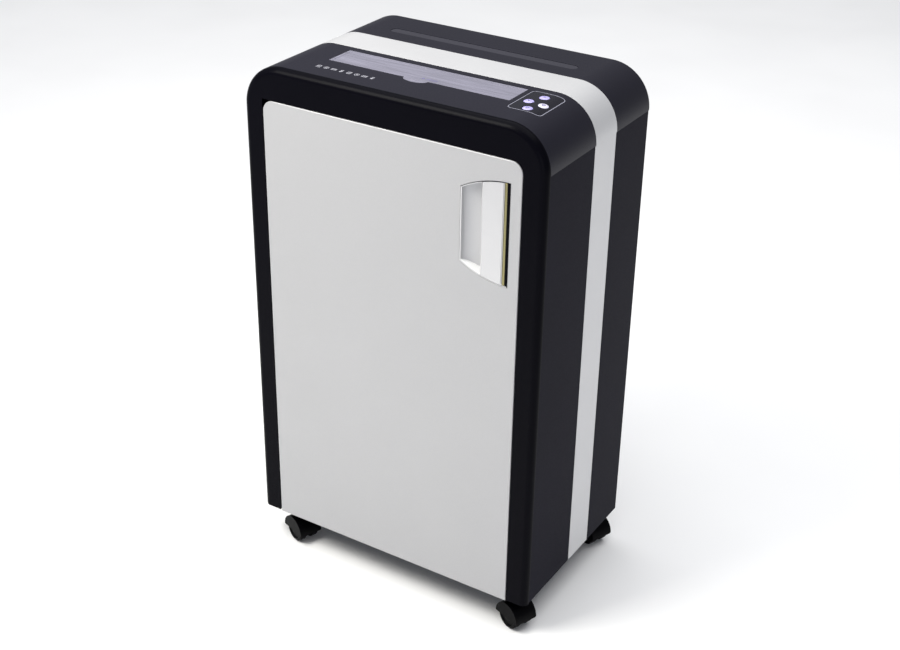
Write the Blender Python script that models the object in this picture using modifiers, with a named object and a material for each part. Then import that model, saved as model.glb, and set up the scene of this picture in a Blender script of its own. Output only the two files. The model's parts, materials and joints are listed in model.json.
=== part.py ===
"""Office paper shredder on castors: cabinet, door, head, cutting unit, drive and waste bin.

Metres, +Z up, the door faces -Y. The origin is on the floor under the middle of the body.
"""
import math

import bmesh
import bpy
from mathutils import Matrix, Vector

# Body
HALF_WIDTH = 0.200
BODY_BOTTOM = 0.048
TOP = BODY_BOTTOM + 0.6157
DOOR_FACE = -0.126
CREASE = -0.1162          # where the front bezel meets the wrap of sides and head
BACK = 0.126
CORNER_RADIUS = 0.0511
SEAM = TOP - CORNER_RADIUS - 0.0006
PANEL_STEP = 0.0008       # the cabinet sides sit this far inside the head
GAP = 0.0003
HEAD_WALL = 0.0025
PANEL_WALL = 0.0030
BAND_FRONT = -0.0126
BAND_BACK = 0.0384
BAND_THICKNESS = 0.0010
BAND_CHANNEL = BAND_THICKNESS + GAP
ARC_STEPS = 8

# Bezel and door
BEZEL_FACE = DOOR_FACE + 0.0005
BEZEL_BACK = CREASE - GAP
BEZEL_ROUND = 0.0085
DOOR_HALF = 0.1717
DOOR_BOTTOM = BODY_BOTTOM - 0.0010
DOOR_TOP = BODY_BOTTOM + 0.5754
DOOR_CORNER = 0.014
DOOR_SHEET = 0.0015
DOOR_GAP = 0.0004
LINER_FRONT = DOOR_FACE + DOOR_SHEET + GAP
LINER_BACK = -0.1100
LINER_HALF = 0.1700
LINER_BOTTOM = 0.0590
LINER_TOP = 0.6140
HINGE_INSET = 0.0050
HINGE_X = -DOOR_HALF + HINGE_INSET
HINGE_Y = DOOR_FACE + HINGE_INSET
HINGE_PIN_RADIUS = 0.0015
HINGE_BORE_RADIUS = 0.0018
HINGE_EYE_RADIUS = 0.0032
SWING_RELIEF = 0.0070      # the bezel is cleared this far round the hinge line
SWING_CORNER = 0.0076      # and this far at the face, where the opening's upper corner turns in
SWING_TOP = DOOR_TOP + 0.0008
UPPER_BRACKET_Z = 0.5955
LOWER_BRACKET_Z = 0.0543
BRACKET_THICKNESS = 0.0030

# Handle in the door
HANDLE_LEFT = 0.0960
HANDLE_RIGHT = 0.1585
HANDLE_MIDDLE = 0.53575
HANDLE_ARC = 0.120
HANDLE_ARC_DROP = 0.05775  # the upper arc's centre is this far below the handle's middle
LIP_LEFT = 0.1231
LIP_INSET = 0.0014
LIP_THICKNESS = 0.0022
CUP_BACK = -0.1112
CUP_WALL = 0.0016
SCOOP_INSET = 0.0018
SCOOP_REACH = 0.0252       # the scoop is at full depth this far from its left edge
SCOOP_RIGHT = 0.1540

# Feed flap and throat
FLAP_LEFT = -0.1200
FLAP_RIGHT = 0.1186
FLAP_FRONT = -0.0654
FLAP_REAR = -0.0225
FLAP_THICKNESS = 0.0020
FLAP_BARREL = 0.0017
FLAP_CLEARANCE = 0.0004
FLAP_ROD = 0.0008
FLAP_ROD_BORE = 0.0011
FLAP_TAPER = 0.0001       # the front edge falls back this much from the tab to the ends
TAB_CENTRE = -0.0010
TAB_HALF = 0.0160
TAB_REACH = 0.0094
THROAT_HALF = 0.1145
THROAT_FRONT = -0.0480
THROAT_BACK = -0.0400

# Control panel
PANEL_BOX = (0.1250, 0.1670, -0.0850, -0.0230)
BUTTON_RADIUS = 0.0060
BUTTON_HOLE = 0.0064
BUTTON_FLANGE = 0.0074
BUTTONS = {
    "button_rear": (0.1461, -0.0367),
    "button_left": (0.1368, -0.0549),
    "button_front": (0.1463, -0.0746),
    "button_right": (0.1564, -0.0578),
}

# Cutting unit and drive
SHAFT_Z = 0.590
FRONT_SHAFT_Y = -0.0605
REAR_SHAFT_Y = -0.0275
DISC_COUNT = 14
DISC_PITCH = 0.0155
DISC_THICKNESS = 0.0069
DISC_RADIUS = 0.0190
CORE_RADIUS = 0.0110
JOURNAL_RADIUS = 0.0050
PLATE_X = 0.1205
PLATE_THICKNESS = 0.0030
TRAY_Z = 0.545
TRAY_TOP = TRAY_Z + 0.003
SYNC_TEETH = 18
SYNC_MODULE = (REAR_SHAFT_Y - FRONT_SHAFT_Y) / SYNC_TEETH
WHEEL_TEETH = 40
PINION_TEETH = 10
DRIVE_MODULE = 0.0015
DRIVE_CENTRES = DRIVE_MODULE * (WHEEL_TEETH + PINION_TEETH) / 2
REDUCTION_Y = REAR_SHAFT_Y + DRIVE_CENTRES
MOTOR_Y = REDUCTION_Y + DRIVE_CENTRES
MOTOR_RADIUS = 0.030
MOTOR_SHAFT_RADIUS = 0.0030
GEAR_BORE = 0.0053
CORE_HALF = 0.1175
SHAFT_END = 0.1300

# Castors
CASTOR_X = 0.165
CASTOR_FRONT_Y = -0.1005
CASTOR_REAR_Y = 0.106
CASTOR_HEADING = math.radians(-21)
CASTOR_TRAIL = 0.0125
WHEEL_RADIUS = 0.017
STEM_RADIUS = 0.0040
STEM_HOLE_RADIUS = 0.0043
WHEEL_FACETS = 20
AXLE_Z = WHEEL_RADIUS * math.cos(math.pi / WHEEL_FACETS)   # a wheel facet lies flat on the floor

# Colour, roughness, metallic
LOOKS = {
    "black_plastic": ((0.022, 0.022, 0.027), 0.35, 0.0),
    "bezel_black": ((0.012, 0.012, 0.016), 0.30, 0.0),
    "silver_door": ((0.62, 0.62, 0.61), 0.38, 0.6),
    "silver_band": ((0.66, 0.66, 0.66), 0.35, 0.5),
    "chrome": ((0.80, 0.80, 0.80), 0.12, 1.0),
    "flap_tint": ((0.34, 0.32, 0.42), 0.25, 0.0),
    "button_lilac": ((0.50, 0.46, 0.80), 0.30, 0.0),
    "button_white": ((0.85, 0.84, 0.90), 0.30, 0.0),
    "steel": ((0.45, 0.45, 0.46), 0.40, 1.0),
    "tool_steel": ((0.30, 0.30, 0.31), 0.35, 1.0),
    "bronze": ((0.55, 0.36, 0.16), 0.45, 1.0),
    "grey_plastic": ((0.20, 0.20, 0.21), 0.55, 0.0),
    "board_green": ((0.02, 0.16, 0.07), 0.50, 0.0),
    "castor_black": ((0.008, 0.008, 0.009), 0.40, 0.0),
}


# ---------------------------------------------------------------- scene and meshes

def new_collection(name):
    group = bpy.data.collections.new(name)
    bpy.context.scene.collection.children.link(group)
    return group


def new_look(name):
    colour, roughness, metallic = LOOKS[name]
    material = bpy.data.materials.new(name)
    material.use_nodes = True
    shader = material.node_tree.nodes["Principled BSDF"]
    shader.inputs["Base Color"].default_value = (*colour, 1.0)
    shader.inputs["Roughness"].default_value = roughness
    shader.inputs["Metallic"].default_value = metallic
    return material


def tidy(mesh, recalculate=False):
    """Weld coincident points and, on a plain prism, turn every face outwards."""
    bm = bmesh.new()
    bm.from_mesh(mesh)
    bmesh.ops.remove_doubles(bm, verts=bm.verts, dist=0.000002)
    if recalculate:
        bmesh.ops.dissolve_limit(bm, angle_limit=0.001, verts=bm.verts, edges=bm.edges)
        bmesh.ops.recalc_face_normals(bm, faces=bm.faces)
    else:
        bmesh.ops.dissolve_degenerate(bm, edges=bm.edges, dist=0.000002)
    bm.to_mesh(mesh)
    bm.free()
    return mesh


def evaluated(obj):
    graph = bpy.context.evaluated_depsgraph_get()
    return bpy.data.meshes.new_from_object(obj.evaluated_get(graph))


def combined(base, tool, operation="DIFFERENCE"):
    """Mesh of base with tool cut away, added (UNION) or kept in common (INTERSECT)."""
    body = bpy.data.objects.new("work_body", base)
    other = bpy.data.objects.new("work_tool", tool)
    WORK.objects.link(body)
    WORK.objects.link(other)
    step = body.modifiers.new("step", "BOOLEAN")
    step.operation = operation
    step.solver = "EXACT"
    step.object = other
    result = evaluated(body)
    bpy.data.objects.remove(body)
    bpy.data.objects.remove(other)
    return tidy(result)


def cut(base, *tools):
    for tool in tools:
        base = combined(base, tool)
    return base


def joined(base, *tools):
    for tool in tools:
        base = combined(base, tool, "UNION")
    return base


def prism(loops, axis, low, high):
    """Extrude flat outlines along an axis: the first is the edge, the others are holes.

    Outlines are (y, z) along X, (x, z) along Y and (x, y) along Z.
    """
    curve = bpy.data.curves.new("outline", "CURVE")
    curve.dimensions = "2D"
    curve.fill_mode = "BOTH"
    curve.extrude = (high - low) / 2
    for loop in loops:
        spline = curve.splines.new("POLY")
        spline.points.add(len(loop) - 1)
        for point, (across, along) in zip(spline.points, loop):
            point.co = (across, along, 0, 1)
        spline.use_cyclic_u = True
    guide = bpy.data.objects.new("outline", curve)
    WORK.objects.link(guide)
    mesh = evaluated(guide)
    bpy.data.objects.remove(guide)
    turn = {
        "X": Matrix(((0, 0, 1), (1, 0, 0), (0, 1, 0))),
        "Y": Matrix(((1, 0, 0), (0, 0, -1), (0, 1, 0))),
        "Z": Matrix.Identity(3),
    }[axis]
    direction = {"X": Vector((1, 0, 0)), "Y": Vector((0, 1, 0)), "Z": Vector((0, 0, 1))}[axis]
    mesh.transform(Matrix.Translation(direction * (low + high) / 2) @ turn.to_4x4())
    return tidy(mesh, recalculate=True)


def box(x0, x1, y0, y1, z0, z1):
    bm = bmesh.new()
    bmesh.ops.create_cube(bm, size=1)
    bmesh.ops.scale(bm, verts=bm.verts, vec=(x1 - x0, y1 - y0, z1 - z0))
    bmesh.ops.translate(bm, verts=bm.verts, vec=((x0 + x1) / 2, (y0 + y1) / 2, (z0 + z1) / 2))
    mesh = bpy.data.meshes.new("box")
    bm.to_mesh(mesh)
    bm.free()
    return mesh


def rod(radius, start, end, segments=16):
    """Solid cylinder from one point to another."""
    start = Vector(start)
    along = Vector(end) - start
    bm = bmesh.new()
    bmesh.ops.create_cone(bm, cap_ends=True, segments=segments, radius1=radius, radius2=radius,
                          depth=along.length)
    mesh = bpy.data.meshes.new("rod")
    bm.to_mesh(mesh)
    bm.free()
    turn = along.to_track_quat("Z", "Y").to_matrix().to_4x4()
    mesh.transform(Matrix.Translation(start + along / 2) @ turn)
    return mesh


def turned(profile, segments, closed=False):
    """Turn a profile of (radius, height) about Z; it runs down the outer side, top to bottom."""
    bm = bmesh.new()
    points = [bm.verts.new((radius, 0, height)) for radius, height in profile]
    for first, second in zip(points, points[1:]):
        bm.edges.new((first, second))
    if closed:
        bm.edges.new((points[-1], points[0]))
    mesh = bpy.data.meshes.new("profile")
    bm.to_mesh(mesh)
    bm.free()
    guide = bpy.data.objects.new("profile", mesh)
    WORK.objects.link(guide)
    screw = guide.modifiers.new("turn", "SCREW")
    screw.steps = segments
    screw.render_steps = segments
    screw.use_merge_vertices = True
    screw.merge_threshold = 0.00001
    result = evaluated(guide)
    bpy.data.objects.remove(guide)
    return tidy(result)


def bevelled(mesh, wanted, width, segments):
    """Round the edges for which wanted(edge) is true."""
    bm = bmesh.new()
    bm.from_mesh(mesh)
    edges = [edge for edge in bm.edges if wanted(edge)]
    bmesh.ops.bevel(bm, geom=edges, offset=width, affect="EDGES", segments=segments, profile=0.5,
                    material=-1)
    bm.to_mesh(mesh)
    bm.free()
    return mesh


def add_part(name, mesh, look, pivot=None):
    """Put a mesh in the model; a moving one hangs from its pivot empty."""
    mesh.name = name
    mesh.materials.clear()
    mesh.materials.append(LOOK_OF[look].copy())
    mesh.materials[0].name = name + "_" + look
    mesh.shade_smooth()
    mesh.set_sharp_from_angle(angle=math.radians(30))
    obj = bpy.data.objects.new(name, mesh)
    PARTS.objects.link(obj)
    if pivot is not None:
        mesh.transform(Matrix.Translation(-pivot.location))
        obj.parent = pivot
    return obj


def add_pivot(name, location):
    pivot = bpy.data.objects.new(name, None)
    pivot.empty_display_size = 0.02
    pivot.location = location
    PARTS.objects.link(pivot)
    return pivot


# ---------------------------------------------------------------- outlines

def arc(centre, radius, start, stop, steps):
    """Points round a centre, angles in degrees, both ends included."""
    points = []
    for step in range(steps + 1):
        angle = math.radians(start + (stop - start) * step / steps)
        points.append((centre[0] + radius * math.cos(angle), centre[1] + radius * math.sin(angle)))
    return points


def circle(centre, radius, segments=16):
    return arc(centre, radius, 0, 360, segments)[:-1]


def rounded(x0, x1, y0, y1, radii, steps=4):
    """Rectangle with corner radii given from the low-low corner counter-clockwise."""
    corners = ((x0, y0, 1, 1, 180), (x1, y0, -1, 1, 270), (x1, y1, -1, -1, 0), (x0, y1, 1, -1, 90))
    points = []
    for radius, (x, y, inward_x, inward_y, start) in zip(radii, corners):
        if radius == 0:
            points.append((x, y))
        else:
            centre = (x + inward_x * radius, y + inward_y * radius)
            points += arc(centre, radius, start, start + 90, steps)
    return points


def arch(inset, foot):
    """Inverted-U outline of the body in (x, z), this far inside its skin, right foot to left foot."""
    centre_x = HALF_WIDTH - CORNER_RADIUS
    centre_z = TOP - CORNER_RADIUS
    radius = CORNER_RADIUS - inset
    side = HALF_WIDTH - inset
    right = arc((centre_x, centre_z), radius, 0, 90, ARC_STEPS)
    left = arc((-centre_x, centre_z), radius, 90, 180, ARC_STEPS)
    return [(side, foot)] + right + left + [(-side, foot)]


def arch_band(outer, inner, foot):
    return arch(outer, foot) + arch(inner, foot)[::-1]


def door_opening(grow, foot):
    """Outline of the door grown by a margin, in (x, z)."""
    half = DOOR_HALF + grow
    radius = DOOR_CORNER + grow
    return rounded(-half, half, foot, DOOR_TOP + grow, (0, 0, radius, radius), 6)


def handle_outline(inset, left=HANDLE_LEFT, steps=8):
    """Barrel-shaped outline of the handle: upright sides, arcs above and below that flare to the right."""
    radius = HANDLE_ARC - inset
    start = left + inset
    stop = HANDLE_RIGHT - inset
    upper = []
    for step in range(steps + 1):
        x = start + (stop - start) * step / steps
        rise = math.sqrt(radius ** 2 - (HANDLE_RIGHT - x) ** 2) - HANDLE_ARC_DROP
        upper.append((x, HANDLE_MIDDLE + rise))
    lower = [(x, 2 * HANDLE_MIDDLE - z) for x, z in upper]
    return lower + upper[::-1]


def flap_outline(grow, rear):
    """Flap rectangle with the half-oval thumb tab on its front edge, in (x, y)."""
    front = FLAP_FRONT - grow
    tab = []
    for step in range(13):
        angle = math.pi + math.pi * step / 12
        x = TAB_CENTRE + (TAB_HALF + grow) * math.cos(angle)
        tab.append((x, front + TAB_REACH * math.sin(angle)))
    shoulder = front + FLAP_TAPER
    corners = [(FLAP_RIGHT + grow, shoulder), (FLAP_RIGHT + grow, rear), (FLAP_LEFT - grow, rear),
               (FLAP_LEFT - grow, shoulder)]
    return tab + corners


def gear_outline(centre, teeth, module, phase):
    """Spur gear outline in (y, z) with straight-flanked teeth and running backlash."""
    pitch = module * teeth / 2
    half_tooth = math.pi / teeth / 2 * 0.86
    slope = math.tan(math.radians(20)) / pitch
    addendum = 0.80 * module
    dedendum = 1.20 * module
    tip = half_tooth - addendum * slope
    root = half_tooth + dedendum * slope
    points = []
    for tooth in range(teeth):
        middle = phase + 2 * math.pi * tooth / teeth
        for offset, radius in ((-root, pitch - dedendum), (-tip, pitch + addendum),
                               (tip, pitch + addendum), (root, pitch - dedendum)):
            points.append((centre[0] + radius * math.cos(middle + offset),
                           centre[1] + radius * math.sin(middle + offset)))
    return points


def gap_phase(teeth, direction):
    """Phase that puts the middle of a tooth gap at this angle."""
    return direction + math.pi / teeth


# ---------------------------------------------------------------- cabinet

def side_panel_outline():
    """Right side panel in plan: flat wall with the band's channel and a rounded return at the back."""
    outer = HALF_WIDTH - PANEL_STEP
    inner = outer - PANEL_WALL
    radius = 0.005
    centre = (outer - radius, BACK - radius)
    outside = [
        (outer, CREASE),
        (outer, BAND_FRONT - GAP),
        (outer - BAND_CHANNEL, BAND_FRONT - GAP),
        (outer - BAND_CHANNEL, BAND_BACK + GAP),
        (outer, BAND_BACK + GAP),
    ] + arc(centre, radius, 0, 90, 4)
    inside = [(0.187, BACK), (0.187, BACK - PANEL_WALL)]
    inside += arc(centre, radius - PANEL_WALL, 90, 0, 3)
    return outside + inside + [(inner, CREASE)]


def mirrored(outline):
    return [(-x, y) for x, y in outline]


def make_cabinet():
    top = SEAM - GAP
    panel = side_panel_outline()
    add_part("right_side_panel", prism([panel], "Z", BODY_BOTTOM, top), "black_plastic")
    add_part("left_side_panel", prism([mirrored(panel)], "Z", BODY_BOTTOM, top), "black_plastic")
    outer = HALF_WIDTH - PANEL_STEP
    for side, name in ((1, "right_band_strip"), (-1, "left_band_strip")):
        low, high = sorted((side * (outer - BAND_THICKNESS), side * outer))
        strip = box(low, high, BAND_FRONT, BAND_BACK, BODY_BOTTOM, top)
        add_part(name, strip, "silver_band")
    holes = [circle((x, y), STEM_HOLE_RADIUS) for x in (-CASTOR_X, CASTOR_X)
             for y in (CASTOR_FRONT_Y, CASTOR_REAR_Y)]
    floor = rounded(-0.1958, 0.1958, -0.1092, 0.1225, (0, 0, 0.003, 0.003), 2)
    add_part("base_plate", prism([floor] + holes, "Z", BODY_BOTTOM, 0.054), "black_plastic")
    add_part("back_panel", back_panel_mesh(top), "black_plastic")
    slot = rounded(-0.118, 0.118, -0.086, -0.002, (0.004,) * 4, 2)
    tray = rounded(-0.1955, 0.1955, -0.1070, 0.1222, (0.004,) * 4, 2)
    add_part("chassis_tray", prism([tray, slot], "Z", TRAY_Z, TRAY_TOP), "steel")


def back_panel_mesh(top):
    half = 0.1866
    edge = [(-half, BODY_BOTTOM), (half, BODY_BOTTOM), (half, top), (-half, top)]
    vents = []
    for column in (-0.098, 0.004):
        for row in range(5):
            z = 0.556 + 0.010 * row
            vents.append(rounded(column, column + 0.086, z, z + 0.0040, (0.0012,) * 4, 1))
    inlet = rounded(0.1195, 0.1485, 0.5695, 0.5905, (0.001,) * 4, 1)
    return prism([edge] + vents + [inlet], "Y", BACK - HEAD_WALL, BACK)


def make_bezel():
    """Inverted-U front frame, rounded back to the crease, pocketed behind and cleared for the hinge."""
    inner_foot = [(-DOOR_HALF - DOOR_GAP, BODY_BOTTOM), (DOOR_HALF + DOOR_GAP, BODY_BOTTOM)]
    outline = arch(0, BODY_BOTTOM) + [inner_foot[0]] + door_opening(DOOR_GAP, BODY_BOTTOM)[2:][::-1]
    outline.append(inner_foot[1])
    frame = prism([outline], "Y", BEZEL_FACE, BEZEL_BACK)

    def on_front(edge):
        return all(abs(vert.co.y - BEZEL_FACE) < 0.00001 for vert in edge.verts)

    def is_outer(edge):
        return on_front(edge) and all(distance_inside(vert.co) < 0.0001 for vert in edge.verts)

    def is_inner(edge):
        feet = all(abs(vert.co.z - BODY_BOTTOM) < 0.0001 for vert in edge.verts)
        return on_front(edge) and not feet and all(
            in_opening(vert.co, 0.0002) for vert in edge.verts)

    frame = bevelled(frame, is_outer, BEZEL_ROUND - 0.0002, 4)
    frame = bevelled(frame, is_inner, 0.0012, 1)
    pocket_inner = door_opening(0.0034, BODY_BOTTOM + 0.003)
    half = DOOR_HALF + 0.0034
    foot = BODY_BOTTOM + 0.003
    pocket = arch(0.005, foot) + [(-half, foot)] + pocket_inner[2:][::-1] + [(half, foot)]
    frame = cut(frame, prism([pocket], "Y", BEZEL_FACE + 0.003, BEZEL_BACK + 0.002))
    swing = rod(SWING_RELIEF, (HINGE_X, HINGE_Y, 0.040), (HINGE_X, HINGE_Y, SWING_TOP), 32)
    corner = rod(SWING_CORNER, (HINGE_X, HINGE_Y, DOOR_TOP - DOOR_CORNER), (HINGE_X, HINGE_Y, DOOR_TOP), 32)
    face = box(-HALF_WIDTH, 0, BEZEL_FACE - 0.01, BEZEL_FACE + 0.002, BODY_BOTTOM, TOP)
    add_part("front_bezel", cut(frame, swing, combined(corner, face, "INTERSECT")), "bezel_black")


def distance_inside(point):
    """How far a point lies inside the body's skin, seen from the front."""
    corner_x = HALF_WIDTH - CORNER_RADIUS
    corner_z = TOP - CORNER_RADIUS
    over_x = abs(point.x) - corner_x
    over_z = point.z - corner_z
    if over_x > 0 and over_z > 0:
        return CORNER_RADIUS - math.hypot(over_x, over_z)
    return min(HALF_WIDTH - abs(point.x), TOP - point.z)


def in_opening(point, margin):
    return abs(point.x) < DOOR_HALF + DOOR_GAP + margin and point.z < DOOR_TOP + DOOR_GAP + margin


# ---------------------------------------------------------------- head

def button_frame(x, y):
    """Centre on the head's skin and outward normal there."""
    over = max(0.0, x - (HALF_WIDTH - CORNER_RADIUS))
    lean = math.asin(over / CORNER_RADIUS)
    z = TOP - CORNER_RADIUS * (1 - math.cos(lean))
    return Vector((x, y, z)), Vector((math.sin(lean), 0, math.cos(lean)))


def panel_prism(inset, low=0.640):
    x0, x1, y0, y1 = PANEL_BOX
    outline = rounded(x0 + inset, x1 - inset, y0 + inset, y1 - inset, (0.006 - inset,) * 4, 4)
    return prism([outline], "Z", low, TOP + 0.01)


def button_holes(radius):
    holes = []
    for x, y in BUTTONS.values():
        centre, normal = button_frame(x, y)
        holes.append(rod(radius, centre - normal * 0.012, centre + normal * 0.005, 14))
    return holes


def make_head_shell():
    shell = prism([arch(0, SEAM)], "Y", CREASE, BACK)

    def is_rear(edge):
        return all(vert.co.y > BACK - 0.0001 and distance_inside(vert.co) < 0.0001
                   for vert in edge.verts) and not all(vert.co.z < SEAM + 0.0001 for vert in edge.verts)

    shell = bevelled(shell, is_rear, 0.005, 3)
    shell = cut(shell, prism([arch(HEAD_WALL, SEAM - 0.01)], "Y", CREASE - 0.01, BACK - HEAD_WALL))
    channel = arch_band(-0.002, BAND_CHANNEL, SEAM - 0.01)
    shell = cut(shell, prism([channel], "Y", BAND_FRONT - GAP, BAND_BACK + GAP))
    bed = box(-0.1265, 0.1240, -0.0790, -0.0178, TOP - 0.0062, TOP - 0.0010)
    shell = joined(shell, bed)
    axis_y = FLAP_REAR - FLAP_BARREL
    axis_z = TOP - FLAP_BARREL
    recess = prism([flap_outline(FLAP_CLEARANCE, FLAP_REAR + FLAP_CLEARANCE)], "Z",
                   TOP - FLAP_THICKNESS - FLAP_CLEARANCE, TOP + 0.01)
    barrel_bed = rod(FLAP_BARREL + FLAP_CLEARANCE, (FLAP_LEFT - FLAP_CLEARANCE, axis_y, axis_z),
                     (FLAP_RIGHT + FLAP_CLEARANCE, axis_y, axis_z), 24)
    rod_bores = rod(FLAP_ROD_BORE, (-0.1245, axis_y, axis_z), (0.1227, axis_y, axis_z), 12)
    slot = box(-THROAT_HALF, THROAT_HALF, THROAT_FRONT, THROAT_BACK, TOP - 0.01, TOP)
    shell = cut(shell, recess, barrel_bed, rod_bores, slot)
    overlay_bed = combined(prism([arch_band(-0.002, 0.0008, 0.600)], "Y", -0.095, -0.015),
                           panel_prism(0, 0.630), "INTERSECT")
    shell = cut(shell, overlay_bed, *button_holes(BUTTON_HOLE))
    groove = rounded(-0.125, 0.130, 0.0638, 0.0778, (0.0069,) * 4, 6)
    shell = cut(shell, prism([groove], "Z", TOP - 0.0010, TOP + 0.01))
    add_part("head_shell", shell, "black_plastic")


def make_head_trim():
    band = prism([arch_band(0, BAND_THICKNESS, SEAM)], "Y", BAND_FRONT, BAND_BACK)
    add_part("head_band", band, "silver_band")
    skin = prism([arch_band(0, 0.0005, 0.600)], "Y", -0.095, -0.015)
    overlay = combined(skin, panel_prism(GAP, 0.630), "INTERSECT")
    add_part("control_overlay", cut(overlay, *button_holes(BUTTON_HOLE)), "black_plastic")
    outer = rounded(-0.1175, 0.1175, -0.0520, -0.0360, (0.001,) * 4, 1)
    inner = rounded(-THROAT_HALF, THROAT_HALF, THROAT_FRONT, THROAT_BACK, (0,) * 4)
    add_part("throat_guide", prism([outer, inner], "Z", 0.6115, TOP - 0.0065), "grey_plastic")
    board = box(0.122, 0.164, -0.088, -0.020, TOP - 0.0146, TOP - 0.0130)
    add_part("control_board", board, "board_green")


def make_buttons():
    profile = [(0, 0.0006), (BUTTON_RADIUS, 0.0001), (BUTTON_RADIUS, -0.0036), (BUTTON_FLANGE, -0.0036),
               (BUTTON_FLANGE, -0.0046), (0.0015, -0.0046), (0.0015, -0.0110), (0, -0.0110)]
    for name, (x, y) in BUTTONS.items():
        centre, normal = button_frame(x, y)
        mesh = turned(profile, 14)
        turn = normal.to_track_quat("Z", "Y").to_matrix().to_4x4()
        mesh.transform(Matrix.Translation(centre) @ turn)
        look = "button_white" if name == "button_right" else "button_lilac"
        add_part(name, mesh, look, add_pivot(name + "_slide", centre))


def make_flap():
    axis_y = FLAP_REAR - FLAP_BARREL
    axis_z = TOP - FLAP_BARREL
    plate = prism([flap_outline(0, axis_y + GAP)], "Z", TOP - FLAP_THICKNESS, TOP)
    barrel = rod(FLAP_BARREL - 0.0001, (FLAP_LEFT + 0.0002, axis_y, axis_z),
                 (FLAP_RIGHT - 0.0002, axis_y, axis_z), 24)
    bore = rod(FLAP_ROD_BORE, (-0.13, axis_y, axis_z), (0.13, axis_y, axis_z), 12)
    hinge = add_pivot("flap_hinge", (0, axis_y, axis_z))
    add_part("feed_flap", cut(joined(plate, barrel), bore), "flap_tint", hinge)
    add_part("flap_rod", rod(FLAP_ROD, (-0.1240, axis_y, axis_z), (0.1222, axis_y, axis_z), 12), "steel")


# ---------------------------------------------------------------- door

def make_door():
    hinge = add_pivot("door_hinge", (HINGE_X, HINGE_Y, BODY_BOTTOM))
    sheet = prism([door_opening(0, DOOR_BOTTOM), handle_outline(0)], "Y", DOOR_FACE,
                  DOOR_FACE + DOOR_SHEET)

    def is_front_rim(edge):
        on_face = all(abs(vert.co.y - DOOR_FACE) < 0.00001 for vert in edge.verts)
        return on_face and edge.calc_face_angle(0) > 1 and not all(
            in_handle(vert.co) for vert in edge.verts)

    add_part("door_panel", bevelled(sheet, is_front_rim, 0.0010, 2), "silver_door", hinge)
    add_part("door_liner", door_liner_mesh(), "grey_plastic", hinge)
    add_part("handle_cup", handle_cup_mesh(), "silver_door", hinge)
    lip = prism([handle_outline(LIP_INSET, LIP_LEFT - LIP_INSET)], "Y", DOOR_FACE, DOOR_FACE + LIP_THICKNESS)
    add_part("handle_lip", lip, "chrome", hinge)
    upper = rod(HINGE_PIN_RADIUS, (HINGE_X, HINGE_Y, 0.5830), (HINGE_X, HINGE_Y, 0.6000))
    lower = rod(HINGE_PIN_RADIUS, (HINGE_X, HINGE_Y, 0.0530), (HINGE_X, HINGE_Y, 0.0700))
    add_part("upper_hinge_pin", upper, "steel", hinge)
    add_part("lower_hinge_pin", lower, "steel", hinge)
    striker = box(0.1480, 0.1680, LINER_BACK + GAP, LINER_BACK + GAP + 0.0008, 0.5484, 0.5600)
    add_part("door_striker", striker, "steel", hinge)


def in_handle(point):
    return HANDLE_LEFT - 0.001 < point.x < HANDLE_RIGHT + 0.001 and abs(point.z - HANDLE_MIDDLE) < 0.065


def door_liner_mesh():
    """Moulded inner door: a rimmed tray with the upper left corner notched for the hinge bracket."""
    half = LINER_HALF
    notch_x = -0.1500
    notch_z = UPPER_BRACKET_Z - 0.0015
    edge = [(-half, LINER_BOTTOM), (half, LINER_BOTTOM)]
    edge += arc((half - 0.012, LINER_TOP - 0.012), 0.012, 0, 90, 4)
    edge += [(notch_x, LINER_TOP), (notch_x, notch_z), (-half, notch_z)]
    cup_window = rounded(0.0940, 0.1605, 0.4735, 0.6000, (0.002,) * 4, 2)
    liner = prism([edge, cup_window], "Y", LINER_FRONT, LINER_BACK)
    hollow = rounded(-0.1550, 0.0885, 0.0750, 0.5850, (0.006,) * 4, 3)
    liner = cut(liner, prism([hollow], "Y", LINER_FRONT + 0.0025, LINER_BACK + 0.01))
    upper_bore = rod(HINGE_BORE_RADIUS, (HINGE_X, HINGE_Y, 0.5820), (HINGE_X, HINGE_Y, 0.6100))
    lower_bore = rod(HINGE_BORE_RADIUS, (HINGE_X, HINGE_Y, 0.0400), (HINGE_X, HINGE_Y, 0.0712))
    return cut(liner, upper_bore, lower_bore)


def handle_cup_mesh():
    """Finger cup: a quarter-oval scoop runs down to the right and on behind the grip lip."""
    shell = prism([handle_outline(GAP)], "Y", DOOR_FACE + 0.0002, CUP_BACK)
    deep = CUP_BACK - CUP_WALL
    depth = deep - DOOR_FACE
    start = HANDLE_LEFT + SCOOP_INSET
    plan = [(start, DOOR_FACE - 0.004)]
    for step in range(9):
        angle = math.pi / 2 * step / 8
        plan.append((start + SCOOP_REACH * (1 - math.cos(angle)), DOOR_FACE + depth * math.sin(angle)))
    plan += [(SCOOP_RIGHT, deep), (SCOOP_RIGHT, DOOR_FACE - 0.004)]
    scoop = combined(prism([handle_outline(SCOOP_INSET)], "Y", DOOR_FACE - 0.004, deep + 0.0004),
                     prism([plan], "Z", 0.45, 0.62), "INTERSECT")
    rebate = prism([handle_outline(0.0010, LIP_LEFT - 0.0016)], "Y", DOOR_FACE - 0.004, DOOR_FACE + 0.0026)
    return cut(shell, scoop, rebate)


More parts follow.
